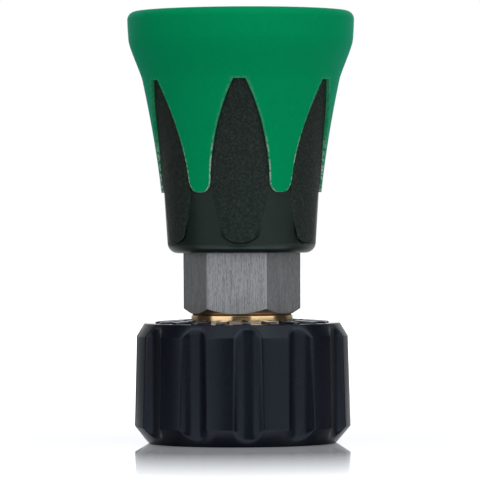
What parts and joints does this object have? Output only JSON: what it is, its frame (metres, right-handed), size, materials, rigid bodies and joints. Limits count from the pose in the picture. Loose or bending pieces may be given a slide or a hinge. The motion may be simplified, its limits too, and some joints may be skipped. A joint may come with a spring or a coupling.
{
  "type": "high-pressure spray nozzle",
  "caption": "High-pressure spray nozzle: a two-colour guard bell and a flat-fan tip on a hexagonal steel holder, with a fluted hand nut that swivels and slides on a brass nipple.",
  "frame": {"origin": "centre of the hand nut's flat foot", "axes": "+Z along the water's way from the hand nut to the mouth of the bell, -Y towards the viewer of the front"},
  "size_m": [0.0422, 0.0422, 0.0801],
  "materials": {
    "nut_plastic": "moulded, blue-black, fine satin grain",
    "brass": "turned and polished",
    "white_plastic": "smooth",
    "black_rubber": "smooth, slightly oiled",
    "copper_seal": "soft copper, satin",
    "stainless_steel": "drawn bar, vertical grain",
    "core_plastic": "moulded, finely stippled panels",
    "green_plastic": "soft moulded plastic, satin",
    "spring_steel": "blackened",
    "ceramic": "hard ceramic, smooth"
  },
  "bodies": {
    "nozzle_body": {"nozzle_holder": "stainless_steel", "swivel_nipple": "brass", "spigot_o_ring": "black_rubber", "spigot_backup_ring": "white_plastic", "nipple_gasket": "copper_seal", "bell_core": "core_plastic", "crown_cover": "green_plastic", "bell_washer": "stainless_steel", "bell_snap_ring": "spring_steel", "tip_seal": "copper_seal", "spray_tip": "stainless_steel", "orifice_insert": "ceramic"},
    "slip_ring": {"slip_washer": "white_plastic"},
    "nut": {"hand_nut": "nut_plastic", "thread_insert": "brass"}
  },
  "joints": [
    {"name": "nut_spin", "type": "hinge", "parent": "nozzle_body", "child": "slip_ring", "pos_m": [0, 0, 0.018], "axis": [0, 0, 1], "continuous": true},
    {"name": "nut_slide", "type": "slide", "parent": "slip_ring", "child": "nut", "axis": [0, 0, 1], "range_m": [-0.001, 0]}
  ]
}
